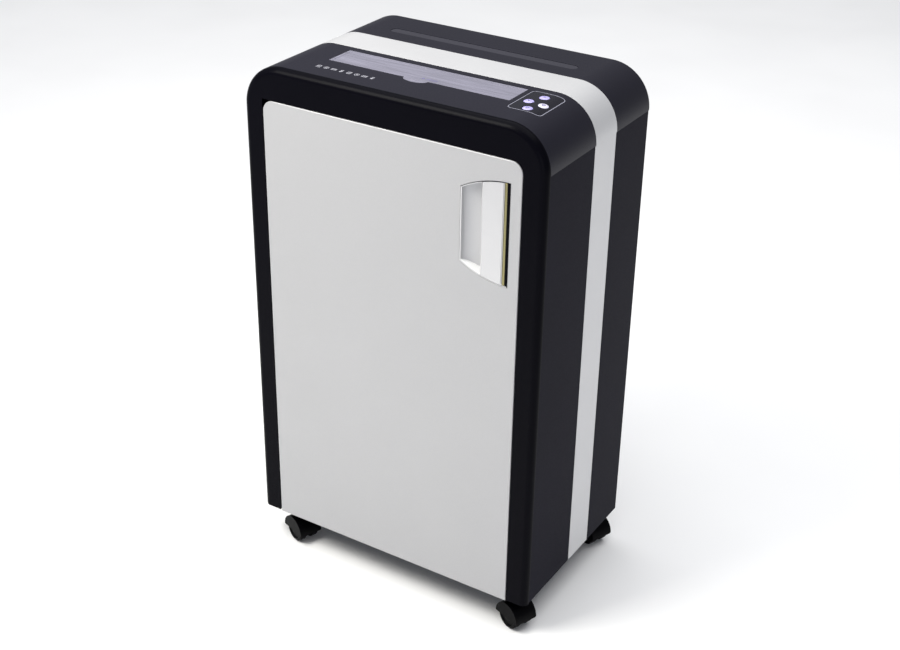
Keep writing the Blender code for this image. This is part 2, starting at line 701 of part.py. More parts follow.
def bracket_outline():
    """Hinge bracket in plan: an eye round the pin, an arm to the rear and a foot to the side panel."""
    eye = arc((HINGE_X, HINGE_Y), HINGE_EYE_RADIUS, 108.2, 360, 12)
    start_y = HINGE_Y + 0.0030
    foot_left = -0.1957
    foot_front = HINGE_Y + 0.0130
    foot_back = HINGE_Y + 0.0230
    arm_left = HINGE_X - 0.0010
    arm_right = HINGE_X + 0.0100
    return eye + [(arm_right, start_y + 0.001), (arm_right, foot_back), (foot_left, foot_back),
                  (foot_left, foot_front), (arm_left, foot_front)]


def make_door_hardware():
    bore = circle((HINGE_X, HINGE_Y), HINGE_BORE_RADIUS, 12)
    for name, z in (("upper_hinge_bracket", UPPER_BRACKET_Z), ("lower_hinge_bracket", LOWER_BRACKET_Z)):
        add_part(name, prism([bracket_outline(), bore], "Z", z, z + BRACKET_THICKNESS), "steel")
    magnet = box(0.1480, 0.1680, -0.1084, -0.0950, TRAY_TOP + GAP, 0.5600)
    add_part("door_magnet", magnet, "grey_plastic")
    switch = joined(box(0.1150, 0.1350, -0.1062, -0.0960, TRAY_TOP + GAP, 0.5583),
                    rod(0.0012, (0.1250, -0.1094, 0.5535), (0.1250, -0.1040, 0.5535), 8))
    add_part("door_switch", switch, "grey_plastic")


# ---------------------------------------------------------------- cutting unit

def shaft_profile(shift, low_end, high_end):
    """Cutter shaft from its high end down: journal, core with discs, journal."""
    points = [(0, high_end), (JOURNAL_RADIUS, high_end), (JOURNAL_RADIUS, CORE_HALF),
              (CORE_RADIUS, CORE_HALF)]
    for index in reversed(range(DISC_COUNT)):
        middle = (index - (DISC_COUNT - 1) / 2) * DISC_PITCH + shift
        upper = middle + DISC_THICKNESS / 2
        lower = middle - DISC_THICKNESS / 2
        points += [(CORE_RADIUS, upper), (DISC_RADIUS, upper), (DISC_RADIUS, lower), (CORE_RADIUS, lower)]
    points += [(CORE_RADIUS, -CORE_HALF), (JOURNAL_RADIUS, -CORE_HALF), (JOURNAL_RADIUS, low_end),
               (0, low_end)]
    return points


def lay_along_x(mesh, y, z):
    """Turn a mesh made about Z so that its axis runs along X at this height and depth."""
    mesh.transform(Matrix.Translation((0, y, z)) @ Matrix.Rotation(math.pi / 2, 4, "Y"))
    return mesh


def comb_outline(shaft_y, outward, shift):
    """Stripper comb in plan: a bar with a finger in each gap between neighbouring discs."""
    root = shaft_y + outward * (DISC_RADIUS + 0.0008)
    spine = shaft_y + outward * (DISC_RADIUS + 0.0070)
    tip = shaft_y + outward * (CORE_RADIUS + 0.0006)
    finger = (DISC_PITCH - DISC_THICKNESS) / 2 - 0.0006
    points = [(-0.1185, spine), (-0.1185, root)]
    for index in range(DISC_COUNT - 1):
        middle = (index + 1 - DISC_COUNT / 2) * DISC_PITCH + shift
        points += [(middle - finger, root), (middle - finger, tip), (middle + finger, tip),
                   (middle + finger, root)]
    return points + [(0.1185, root), (0.1185, spine)]


def make_cutting_unit():
    front = add_pivot("front_cutter_spin", (0, FRONT_SHAFT_Y, SHAFT_Z))
    rear = add_pivot("rear_cutter_spin", (0, REAR_SHAFT_Y, SHAFT_Z))
    quarter = DISC_PITCH / 4
    front_shaft = turned(shaft_profile(-quarter, -0.1355, SHAFT_END), 14)
    rear_shaft = turned(shaft_profile(quarter, -0.1475, SHAFT_END), 14)
    add_part("front_cutter_shaft", lay_along_x(front_shaft, FRONT_SHAFT_Y, SHAFT_Z), "tool_steel", front)
    add_part("rear_cutter_shaft", lay_along_x(rear_shaft, REAR_SHAFT_Y, SHAFT_Z), "tool_steel", rear)
    comb_z = (SHAFT_Z - 0.006, SHAFT_Z + 0.006)
    add_part("front_comb", prism([comb_outline(FRONT_SHAFT_Y, -1, -quarter)], "Z", *comb_z), "steel")
    add_part("rear_comb", prism([comb_outline(REAR_SHAFT_Y, 1, quarter)], "Z", *comb_z), "steel")
    make_frame_plates()
    bush = [(0.0070, 0.0025), (0.0070, -0.0025), (0.0053, -0.0025), (0.0053, 0.0025)]
    for side, x in (("left", -0.1220), ("right", 0.1220)):
        for place, y in (("front", FRONT_SHAFT_Y), ("rear", REAR_SHAFT_Y)):
            mesh = turned(bush, 12, closed=True)
            mesh.transform(Matrix.Translation((x, y, SHAFT_Z)) @ Matrix.Rotation(math.pi / 2, 4, "Y"))
            add_part(f"{side}_{place}_bush", mesh, "bronze")
    make_gears(front, rear)


def make_frame_plates():
    edge = rounded(-0.088, 0.085, TRAY_TOP + GAP, 0.6225, (0.001, 0.001, 0.010, 0.010), 3)
    bores = [circle((FRONT_SHAFT_Y, SHAFT_Z), 0.0073), circle((REAR_SHAFT_Y, SHAFT_Z), 0.0073)]
    motor_bore = circle((MOTOR_Y, SHAFT_Z), 0.0040)
    low = -PLATE_X - PLATE_THICKNESS
    add_part("left_frame_plate", prism([edge] + bores + [motor_bore], "X", low, -PLATE_X), "steel")
    add_part("right_frame_plate", prism([edge] + bores, "X", PLATE_X, PLATE_X + PLATE_THICKNESS), "steel")
    reach = PLATE_X - GAP
    for name, y, z in (("front_tie_rod", -0.0810, 0.5570), ("rear_tie_rod", 0.0040, 0.6165)):
        add_part(name, rod(0.0035, (-reach, y, z), (reach, y, z), 12), "steel")


def make_gears(front, rear):
    towards_back = 0.0
    towards_front = math.pi
    rear_centre = (REAR_SHAFT_Y, SHAFT_Z)
    front_centre = (FRONT_SHAFT_Y, SHAFT_Z)
    middle_centre = (REDUCTION_Y, SHAFT_Z)
    motor_centre = (MOTOR_Y, SHAFT_Z)
    rear_sync = gear_outline(rear_centre, SYNC_TEETH, SYNC_MODULE, towards_front)
    front_sync = gear_outline(front_centre, SYNC_TEETH, SYNC_MODULE, gap_phase(SYNC_TEETH, towards_back))
    add_part("rear_sync_gear", prism([rear_sync, circle(rear_centre, GEAR_BORE)], "X", -0.1340, -0.1260),
             "steel", rear)
    add_part("front_sync_gear", prism([front_sync, circle(front_centre, GEAR_BORE)], "X", -0.1340, -0.1260),
             "steel", front)
    drive = gear_outline(rear_centre, WHEEL_TEETH, DRIVE_MODULE, towards_back)
    add_part("drive_gear", prism([drive, circle(rear_centre, GEAR_BORE)], "X", -0.1460, -0.1380),
             "steel", rear)
    reduction = add_pivot("reduction_spin", (0, REDUCTION_Y, SHAFT_Z))
    small = gear_outline(middle_centre, PINION_TEETH, DRIVE_MODULE, gap_phase(PINION_TEETH, towards_front))
    large = gear_outline(middle_centre, WHEEL_TEETH, DRIVE_MODULE, towards_back)
    pair = joined(prism([large], "X", -0.1555, -0.1485), prism([small], "X", -0.1487, -0.1375))
    pair = cut(pair, rod(0.0033, (-0.17, REDUCTION_Y, SHAFT_Z), (-0.13, REDUCTION_Y, SHAFT_Z), 16))
    add_part("reduction_gear", pair, "steel", reduction)
    axle = rod(0.0030, (-0.1570, REDUCTION_Y, SHAFT_Z), (-0.1238, REDUCTION_Y, SHAFT_Z))
    add_part("reduction_axle", axle, "steel")
    motor_spin = add_pivot("motor_spin", (0, MOTOR_Y, SHAFT_Z))
    pinion = gear_outline(motor_centre, PINION_TEETH, DRIVE_MODULE, gap_phase(PINION_TEETH, towards_front))
    shaft = rod(MOTOR_SHAFT_RADIUS, (-0.1560, MOTOR_Y, SHAFT_Z), (-0.1100, MOTOR_Y, SHAFT_Z))
    add_part("motor_pinion", joined(prism([pinion], "X", -0.1550, -0.1485), shaft), "steel", motor_spin)
    make_motor()


def make_motor():
    profile = [(0, 0.1200), (0.0290, 0.1200), (MOTOR_RADIUS, 0.1190), (MOTOR_RADIUS, 0.0360),
               (0.0270, 0.0330), (0.0180, 0.0330), (0.0180, 0.0250), (0, 0.0250)]
    body = turned(profile, 20)
    body.transform(Matrix.Translation((0, MOTOR_Y, SHAFT_Z)) @ Matrix.Rotation(-math.pi / 2, 4, "Y"))
    well = rod(0.0034, (-0.1300, MOTOR_Y, SHAFT_Z), (-0.1080, MOTOR_Y, SHAFT_Z))
    foot = box(-0.100, -0.050, MOTOR_Y - 0.018, MOTOR_Y + 0.018, TRAY_TOP + GAP, SHAFT_Z - 0.020)
    add_part("drive_motor", cut(joined(body, foot), well), "tool_steel")


def make_electrics():
    board = box(0.012, 0.112, 0.030, 0.104, 0.5560, 0.5576)
    legs = [box(x, x + 0.006, y, y + 0.006, TRAY_TOP + GAP, 0.5570)
            for x in (0.014, 0.104) for y in (0.032, 0.096)]
    blocks = [box(0.020, 0.048, 0.040, 0.070, 0.5570, 0.5800), box(0.060, 0.078, 0.040, 0.056, 0.5570, 0.5720),
              box(0.086, 0.104, 0.038, 0.090, 0.5570, 0.5660)]
    add_part("power_board", joined(board, *legs, *blocks), "board_green")
    inlet = box(0.1200, 0.1480, 0.1060, BACK - GAP, 0.5700, 0.5900)
    mouth = rounded(0.1225, 0.1455, 0.5725, 0.5875, (0.001, 0.001, 0.004, 0.004), 1)
    inlet = cut(inlet, prism([mouth], "Y", 0.1090, BACK + 0.01))
    blades = [box(x - 0.0010, x + 0.0010, 0.1085, 0.1220, z - 0.0020, z + 0.0020)
              for x, z in ((0.1270, 0.5780), (0.1340, 0.5820), (0.1410, 0.5780))]
    add_part("power_inlet", joined(inlet, *blades), "grey_plastic")


def make_waste_bin():
    outer = rounded(-0.160, 0.160, -0.104, 0.112, (0.012,) * 4, 4)
    inner = rounded(-0.1578, 0.1578, -0.1018, 0.1098, (0.0098,) * 4, 4)
    tub = cut(prism([outer], "Z", 0.060, 0.500), prism([inner], "Z", 0.0625, 0.51))
    grip = rounded(-0.045, 0.045, 0.452, 0.478, (0.0129,) * 4, 5)
    tub = cut(tub, prism([grip], "Y", -0.12, -0.09))
    add_part("waste_bin", tub, "grey_plastic")


# ---------------------------------------------------------------- castors

def castor_hood_mesh():
    """Web between the wheels with a fender over them and a stem, about the swivel axis."""
    axle = (CASTOR_TRAIL, AXLE_Z)
    web = arc(axle, 0.0188, 12, 185, 7) + arc(axle, 0.0125, 200, 358, 5)
    fender = arc(axle, 0.0196, 12, 170, 7) + arc(axle, 0.0181, 170, 12, 7)
    hood = joined(prism([web], "Y", -0.0035, 0.0035), prism([fender], "Y", -0.0145, 0.0145))
    neck = box(-0.0065, 0.0100, -0.0034, 0.0034, 0.0200, 0.0405)
    collar = rod(0.0080, (0, 0, 0.0400), (0, 0, 0.0425), 12)
    stem = rod(STEM_RADIUS, (0, 0, 0.0420), (0, 0, 0.0535), 12)
    bore = rod(0.0028, (axle[0], -0.01, axle[1]), (axle[0], 0.01, axle[1]), 12)
    return cut(joined(hood, neck, collar, stem), bore)


def castor_wheel_mesh():
    """Two wheels on one axle, about the axle along Y, with a facet facing down."""
    upper = [(0, 0.0145), (0.0150, 0.0140), (WHEEL_RADIUS, 0.0128), (WHEEL_RADIUS, 0.0045),
             (0.0024, 0.0045)]
    profile = upper + [(radius, -height) for radius, height in reversed(upper)]
    mesh = turned(profile, WHEEL_FACETS)
    half_facet = Matrix.Rotation(math.pi / WHEEL_FACETS, 4, "Z")
    mesh.transform(Matrix.Rotation(math.pi / 2, 4, "X") @ half_facet)
    return mesh


def make_castors():
    hood = castor_hood_mesh()
    wheel = castor_wheel_mesh()
    heading = Matrix.Rotation(CASTOR_HEADING, 4, "Z")
    places = {
        "front_left": (-CASTOR_X, CASTOR_FRONT_Y),
        "front_right": (CASTOR_X, CASTOR_FRONT_Y),
        "rear_left": (-CASTOR_X, CASTOR_REAR_Y),
        "rear_right": (CASTOR_X, CASTOR_REAR_Y),
    }
    for place, (x, y) in places.items():
        swivel = add_pivot(place + "_swivel", (x, y, 0))
        hood_mesh = hood.copy()
        hood_mesh.transform(Matrix.Translation((x, y, 0)) @ heading)
        add_part(place + "_castor_hood", hood_mesh, "castor_black", swivel)
        centre = Vector((x, y, AXLE_Z)) + heading @ Vector((CASTOR_TRAIL, 0, 0))
        wheel_mesh = wheel.copy()
        wheel_mesh.transform(Matrix.Translation(centre) @ heading)
        add_part(place + "_castor_wheel", wheel_mesh, "castor_black", add_pivot(place + "_roll", centre))
    bpy.data.meshes.remove(hood)
    bpy.data.meshes.remove(wheel)


for old in list(bpy.data.objects):
    bpy.data.objects.remove(old)
PARTS = new_collection("paper_shredder")
WORK = new_collection("work")
LOOK_OF = {name: new_look(name) for name in LOOKS}

make_cabinet()
make_bezel()
make_head_shell()
make_head_trim()
make_buttons()
make_flap()
make_door()
make_door_hardware()
make_cutting_unit()
make_electrics()
make_waste_bin()
make_castors()
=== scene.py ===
import json
import math

import bmesh
import bpy
from mathutils import Matrix, Vector


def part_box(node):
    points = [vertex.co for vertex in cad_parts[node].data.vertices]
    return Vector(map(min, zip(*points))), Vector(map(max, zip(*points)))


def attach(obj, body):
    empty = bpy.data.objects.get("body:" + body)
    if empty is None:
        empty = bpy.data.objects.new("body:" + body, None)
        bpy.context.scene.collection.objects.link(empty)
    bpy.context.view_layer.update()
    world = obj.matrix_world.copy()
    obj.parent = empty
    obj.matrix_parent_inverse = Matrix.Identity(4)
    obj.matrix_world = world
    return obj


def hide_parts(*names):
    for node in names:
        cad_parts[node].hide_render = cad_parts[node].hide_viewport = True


# Office paper shredder on castors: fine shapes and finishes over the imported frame.
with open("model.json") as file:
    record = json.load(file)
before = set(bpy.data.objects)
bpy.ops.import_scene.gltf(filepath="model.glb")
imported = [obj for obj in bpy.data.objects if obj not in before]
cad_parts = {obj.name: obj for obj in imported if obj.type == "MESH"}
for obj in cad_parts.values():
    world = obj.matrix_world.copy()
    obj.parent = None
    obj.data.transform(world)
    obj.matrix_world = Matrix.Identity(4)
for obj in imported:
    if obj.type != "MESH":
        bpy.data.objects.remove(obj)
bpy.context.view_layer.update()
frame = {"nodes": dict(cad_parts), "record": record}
collection = bpy.context.scene.collection
print("frame loaded,", len(frame["nodes"]), "parts")

headLow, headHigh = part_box("head_shell")
bezelLow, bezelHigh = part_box("front_bezel")
bandLow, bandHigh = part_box("head_band")
doorLow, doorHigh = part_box("door_panel")

# the arch-shaped wrap of sides and head, seen from the front
wrap = dict(halfWidth=headHigh[0], top=headHigh[2], cornerRadius=0.0511, cornerSteps=28, gap=0.0003)

# welding and smoothing of every finished piece
finish = dict(weld=0.000002, bevelFrom=38, sharpFrom=40)
near = 0.00001     # how far a point may be from a plane and still count as on it


def meshFrom(bm):
    bmesh.ops.remove_doubles(bm, verts=bm.verts, dist=0.000001)
    bmesh.ops.recalc_face_normals(bm, faces=bm.faces)
    mesh = bpy.data.meshes.new("shape")
    bm.to_mesh(mesh)
    bm.free()
    return mesh


def block(low, high):
    bm = bmesh.new()
    bmesh.ops.create_cube(bm, size=1)
    size = [high[i] - low[i] for i in range(3)]
    middle = [(high[i] + low[i]) / 2 for i in range(3)]
    bmesh.ops.scale(bm, verts=bm.verts, vec=size)
    bmesh.ops.translate(bm, verts=bm.verts, vec=middle)
    return bm


def roundEdges(bm, wanted, width, steps):
    edges = [edge for edge in bm.edges if wanted(edge)]
    bmesh.ops.bevel(bm, geom=edges, offset=width, affect="EDGES", segments=steps, profile=0.5,
                    material=-1)
    return bm


def bothEnds(edge, test):
    return test(edge.verts[0].co) and test(edge.verts[1].co)


def runsAlong(edge, axis):
    line = edge.verts[1].co - edge.verts[0].co
    return abs(line[axis]) > 0.999 * line.length


def bar(radius, start, end, steps=48, squeeze=None):
    start = Vector(start)
    line = Vector(end) - start
    bm = bmesh.new()
    bmesh.ops.create_cone(bm, cap_ends=True, segments=steps, radius1=radius, radius2=radius,
                          depth=line.length)
    if squeeze:
        bmesh.ops.scale(bm, verts=bm.verts, vec=squeeze)
    turn = line.to_track_quat("Z", "Y").to_matrix().to_4x4()
    bmesh.ops.transform(bm, verts=bm.verts, matrix=Matrix.Translation(start + line / 2) @ turn)
    return meshFrom(bm)


def spunMesh(profile, steps):
    # profile of (radius, height), turned about Z
    bm = bmesh.new()
    points = [bm.verts.new((radius, 0, height)) for radius, height in profile]
    for first, second in zip(points, points[1:]):
        bm.edges.new((first, second))
    bmesh.ops.spin(bm, geom=list(bm.verts) + list(bm.edges), cent=(0, 0, 0), axis=(0, 0, 1),
                   angle=math.tau, steps=steps, use_merge=True)
    return meshFrom(bm)


def solved(first, second, how):
    body = bpy.data.objects.new("body", first)
    tool = bpy.data.objects.new("tool", second)
    collection.objects.link(body)
    collection.objects.link(tool)
    step = body.modifiers.new("step", "BOOLEAN")
    step.operation = how
    step.solver = "EXACT"
    step.object = tool
    graph = bpy.context.evaluated_depsgraph_get()
    mesh = bpy.data.meshes.new_from_object(body.evaluated_get(graph))
    bpy.data.objects.remove(body)
    bpy.data.objects.remove(tool)
    return mesh


def minus(mesh, *tools):
    for tool in tools:
        mesh = solved(mesh, tool, "DIFFERENCE")
    return mesh


def plus(mesh, *tools):
    for tool in tools:
        mesh = solved(mesh, tool, "UNION")
    return mesh


def common(mesh, *tools):
    for tool in tools:
        mesh = solved(mesh, tool, "INTERSECT")
    return mesh


def applyModifiers(piece):
    graph = bpy.context.evaluated_depsgraph_get()
    mesh = bpy.data.meshes.new_from_object(piece.evaluated_get(graph))
    piece.modifiers.clear()
    piece.data = mesh


def joinedMesh(meshes):
    bm = bmesh.new()
    for mesh in meshes:
        bm.from_mesh(mesh)
    mesh = bpy.data.meshes.new("shape")
    bm.to_mesh(mesh)
    bm.free()
    return mesh


def place(name, mesh, body, material, replaced=(), edge=0.0003, edgeSteps=2):
    bm = bmesh.new()
    bm.from_mesh(mesh)
    bmesh.ops.remove_doubles(bm, verts=bm.verts, dist=finish["weld"])
    bmesh.ops.dissolve_degenerate(bm, edges=bm.edges, dist=finish["weld"])
    bm.to_mesh(mesh)
    bm.free()
    mesh.materials.clear()
    mesh.materials.append(material)
    piece = bpy.data.objects.new(name, mesh)
    collection.objects.link(piece)
    if edge:
        soften = piece.modifiers.new("soften", "BEVEL")
        soften.width = edge
        soften.segments = edgeSteps
        soften.limit_method = "ANGLE"
        soften.angle_limit = math.radians(finish["bevelFrom"])
        soften.miter_outer = "MITER_ARC"
        applyModifiers(piece)
    piece.data.shade_smooth()
    piece.data.set_sharp_from_angle(angle=math.radians(finish["sharpFrom"]))
    weighted = piece.modifiers.new("weighted", "WEIGHTED_NORMAL")
    weighted.keep_sharp = True
    applyModifiers(piece)
    piece.data.name = name
    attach(piece, body)
    if replaced:
        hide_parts(*replaced)
    return piece


def startMaterial(name, shade, rough, metal=0.0, specular=0.5, coat=0.0):
    material = bpy.data.materials.new(name)
    material.use_nodes = True
    shader = material.node_tree.nodes["Principled BSDF"]
    shader.inputs["Base Color"].default_value = (*shade, 1)
    shader.inputs["Roughness"].default_value = rough
    shader.inputs["Metallic"].default_value = metal
    shader.inputs["Specular IOR Level"].default_value = specular
    shader.inputs["Coat Weight"].default_value = coat
    shader.inputs["Coat Roughness"].default_value = 0.12
    return material, material.node_tree, shader


def addNoise(tree, scale, detail=2.0, stretch=(1, 1, 1)):
    coords = tree.nodes.new("ShaderNodeTexCoord")
    mapping = tree.nodes.new("ShaderNodeMapping")
    mapping.inputs["Scale"].default_value = stretch
    noise = tree.nodes.new("ShaderNodeTexNoise")
    noise.inputs["Scale"].default_value = scale
    noise.inputs["Detail"].default_value = detail
    tree.links.new(coords.outputs["Object"], mapping.inputs["Vector"])
    tree.links.new(mapping.outputs["Vector"], noise.inputs["Vector"])
    return noise.outputs["Fac"]


def addShades(tree, shader, factor, dark, light, low=0.35, high=0.65):
    ramp = tree.nodes.new("ShaderNodeValToRGB")
    ramp.color_ramp.elements[0].position = low
    ramp.color_ramp.elements[0].color = (*dark, 1)
    ramp.color_ramp.elements[1].position = high
    ramp.color_ramp.elements[1].color = (*light, 1)
    tree.links.new(factor, ramp.inputs["Fac"])
    tree.links.new(ramp.outputs["Color"], shader.inputs["Base Color"])


def addRoughness(tree, shader, factor, low, high):
    spread = tree.nodes.new("ShaderNodeMapRange")
    spread.inputs["From Min"].default_value = 0.3
    spread.inputs["From Max"].default_value = 0.7
    spread.inputs["To Min"].default_value = low
    spread.inputs["To Max"].default_value = high
    tree.links.new(factor, spread.inputs["Value"])
    tree.links.new(spread.outputs["Result"], shader.inputs["Roughness"])


def addBump(tree, shader, factor, depth):
    bump = tree.nodes.new("ShaderNodeBump")
    bump.inputs["Distance"].default_value = depth
    bump.inputs["Strength"].default_value = 1
    tree.links.new(factor, bump.inputs["Height"])
    tree.links.new(bump.outputs["Normal"], shader.inputs["Normal"])


def shaded(shade, amount):
    return tuple(min(1, channel * amount) for channel in shade)


def mouldedPlastic(name, shade, rough, grain=1400, depth=0.00002, specular=0.5,
                   variation=0.06):
    # spark-eroded mould texture with slow changes of gloss over the panel
    material, tree, shader = startMaterial(name, shade, rough, specular=specular)
    addShades(tree, shader, addNoise(tree, 9, 3), shaded(shade, 1 - variation),
              shaded(shade, 1 + variation))
    addRoughness(tree, shader, addNoise(tree, 700, 2), rough - 0.03, rough + 0.04)
    addBump(tree, shader, addNoise(tree, grain, 1.5), depth)
    return material


def silverPaint(name, shade, rough, metal):
    # metallic lacquer: flakes in the colour, a little orange peel in the surface
    material, tree, shader = startMaterial(name, shade, rough, metal, specular=0.5, coat=0.15)
    addShades(tree, shader, addNoise(tree, 2600, 1), shaded(shade, 0.965), shaded(shade, 1.035))
    addRoughness(tree, shader, addNoise(tree, 14, 3), rough - 0.03, rough + 0.04)
    addBump(tree, shader, addNoise(tree, 240, 2), 0.000012)
    return material


def drawnMetal(name, shade, rough, stretch=(1, 1, 60)):
    # fine drawing or grinding lines along one direction
    material, tree, shader = startMaterial(name, shade, rough, 1)
    lines = addNoise(tree, 260, 2, stretch)
    addShades(tree, shader, lines, shaded(shade, 0.86), shaded(shade, 1.1))
    addRoughness(tree, shader, addNoise(tree, 60, 3, stretch), rough - 0.07, rough + 0.1)
    addBump(tree, shader, lines, 0.000015)
    return material


def softPlastic(name, shade, rough, coat=0.3):
    material, tree, shader = startMaterial(name, shade, rough, coat=coat)
    shader.inputs["Subsurface Weight"].default_value = 0.15
    shader.inputs["Subsurface Radius"].default_value = (0.002, 0.002, 0.002)
    addShades(tree, shader, addNoise(tree, 320, 2), shaded(shade, 0.95), shaded(shade, 1.05))
    addRoughness(tree, shader, addNoise(tree, 90, 3), rough - 0.04, rough + 0.05)
    addBump(tree, shader, addNoise(tree, 900, 1), 0.000008)
    return material


panelBlack = mouldedPlastic("panel black", (0.0056, 0.0051, 0.0112), 0.46, specular=0.030)
headBlack = mouldedPlastic("head black", (0.0074, 0.0068, 0.0136), 0.40, specular=0.20)
bezelBlack = mouldedPlastic("bezel black", (0.0016, 0.0015, 0.0032), 0.30, 1800, 0.000008,
                            specular=0.035)
overlayBlack = mouldedPlastic("overlay black", (0.0060, 0.0056, 0.0105), 0.26, 2000, 0.000006,
                              specular=0.24)
castorBlack = mouldedPlastic("castor black", (0.0010, 0.0010, 0.0015), 0.36, 1500, 0.00001,
                             specular=0.045)
linerGrey = mouldedPlastic("liner grey", (0.20, 0.20, 0.21), 0.52, 1300, 0.00003)
binGrey = mouldedPlastic("bin grey", (0.14, 0.145, 0.155), 0.46, 1100, 0.00003)
doorSilver = silverPaint("door silver", (0.395, 0.395, 0.404), 0.42, 0.25)
# painted light: a lighter copy of the door paint for the handle cup, lifting the shade in its recess
litCupSilver = silverPaint("cup silver", (0.53, 0.53, 0.54), 0.40, 0.2)
bandSilver = silverPaint("band silver", (0.585, 0.585, 0.595), 0.36, 0.30)
lipSilver = silverPaint("lip silver", (0.53, 0.53, 0.54), 0.24, 0.55)
# painted reflection: olive metal standing for the dark surroundings seen in the chrome lip near its right edge
reflectionOlive = drawnMetal("dark chrome", (0.27, 0.245, 0.125), 0.16)
# painted light: near-white paint for the sheet on the scoop's floor, standing for the light that falls there
paintedLightWhite = silverPaint("ledge silver", (0.95, 0.95, 0.95), 0.20, 0.1)
steelPlate = drawnMetal("steel plate", (0.52, 0.52, 0.53), 0.36, (60, 1, 1))
steelTurned = drawnMetal("steel turned", (0.48, 0.48, 0.49), 0.30, (60, 1, 1))
cutterSteel = drawnMetal("cutter steel", (0.26, 0.26, 0.27), 0.34, (60, 1, 1))
bushBronze = drawnMetal("bush bronze", (0.55, 0.36, 0.16), 0.42, (60, 1, 1))
motorPaint = mouldedPlastic("motor paint", (0.10, 0.10, 0.105), 0.45, 700, 0.00003)
boardGreen = mouldedPlastic("board green", (0.02, 0.15, 0.065), 0.42, 500, 0.00003,
                            variation=0.3)
buttonLilac = softPlastic("button lilac", (0.43, 0.39, 0.72), 0.30)
buttonWhite = softPlastic("button white", (0.64, 0.62, 0.77), 0.28)
markViolet = softPlastic("mark violet", (0.11, 0.10, 0.22), 0.40, 0.0)
printGrey = softPlastic("print grey", (0.34, 0.34, 0.38), 0.50, 0.0)
grooveGrey = mouldedPlastic("groove grey", (0.024, 0.023, 0.033), 0.36, specular=0.30)
lineGrey = softPlastic("line grey", (0.27, 0.27, 0.33), 0.40, 0.0)


def smokyFlap():
    # lilac window plastic with long drawn streaks
    shade = (0.195, 0.189, 0.243)
    material, tree, shader = startMaterial("flap lilac", shade, 0.26, specular=0.5, coat=0.4)
    streaks = addNoise(tree, 42, 4, (0.35, 6, 1))
    addShades(tree, shader, streaks, shaded(shade, 0.82), shaded(shade, 1.2), 0.3, 0.7)
    addRoughness(tree, shader, addNoise(tree, 70, 3, (0.5, 3, 1)), 0.20, 0.36)
    addBump(tree, shader, streaks, 0.00004)
    return material


flapLilac = smokyFlap()


def archBlock(inset, front, back, foot):
    # solid under the arch, this far inside its skin
    half = wrap["halfWidth"] - inset
    top = wrap["top"] - inset
    bm = block((-half, front, foot), (half, back, top))
    return roundEdges(bm, lambda edge: runsAlong(edge, 1) and bothEnds(edge, lambda co: co.z > top - near),
                      wrap["cornerRadius"] - inset, wrap["cornerSteps"])


def archSkin(outside, inside, front, back, foot):
    # the layer between two insets of the arch
    outer = meshFrom(archBlock(outside, front, back, foot))
    return minus(outer, meshFrom(archBlock(inside, front - 0.01, back + 0.01, foot - 0.01)))


control = dict(left=0.1250, right=0.1670, front=-0.0850, back=-0.0230, corner=0.006, skin=0.0005, bed=0.0008,
               lineInset=0.0004, lineWidth=0.0008, lineRise=0.00004, lineSink=0.0002, hole=0.0064,
               holeDown=0.012, holeUp=0.005, skinFront=-0.095, skinBack=-0.015, skinFoot=0.600)
buttonPlaces = dict(button_rear=(0.1461, -0.0367), button_left=(0.1368, -0.0549),
                    button_front=(0.1463, -0.0746), button_right=(0.1564, -0.0578))


def controlBlock(inset):
    bm = block((control["left"] + inset, control["front"] + inset, control["skinFoot"] + 0.03),
               (control["right"] - inset, control["back"] - inset, wrap["top"] + 0.01))
    return meshFrom(roundEdges(bm, lambda edge: runsAlong(edge, 2), control["corner"] - inset, 8))


def buttonFrame(x, y):
    # the place on the skin under a button, and the way it faces
    over = max(0, x - (wrap["halfWidth"] - wrap["cornerRadius"]))
    lean = math.asin(over / wrap["cornerRadius"])
    height = wrap["top"] - wrap["cornerRadius"] * (1 - math.cos(lean))
    return Vector((x, y, height)), Vector((math.sin(lean), 0, math.cos(lean)))


def buttonHoles():
    holes = []
    for x, y in buttonPlaces.values():
        centre, facing = buttonFrame(x, y)
        holes.append(bar(control["hole"], centre - facing * control["holeDown"],
                         centre + facing * control["holeUp"], 40))
    return holes


def controlSkin(outside, inside):
    return archSkin(outside, inside, control["skinFront"], control["skinBack"], control["skinFoot"])


flap = dict(left=-0.1200, right=0.1186, front=-0.0654, rear=-0.0225, thickness=0.0020, barrel=0.0017,
            tabMiddle=-0.0010, tabHalf=0.0160, tabReach=0.0094, clearance=0.0004, rodBore=0.0011,
            windowDepth=0.00025, windowFront=0.0030, windowEdge=0.0035, windowCorner=0.0015)


def flapBlock(grow, rear, low, high):
    # plate with the half-oval thumb tab
    plate = meshFrom(block((flap["left"] - grow, flap["front"] - grow, low),
                           (flap["right"] + grow, rear, high)))
    front = flap["front"] - grow
    tab = bar(1, (flap["tabMiddle"], front, low), (flap["tabMiddle"], front, high), 72,
              (flap["tabHalf"] + grow, flap["tabReach"], 1))
    return plus(plate, tab)


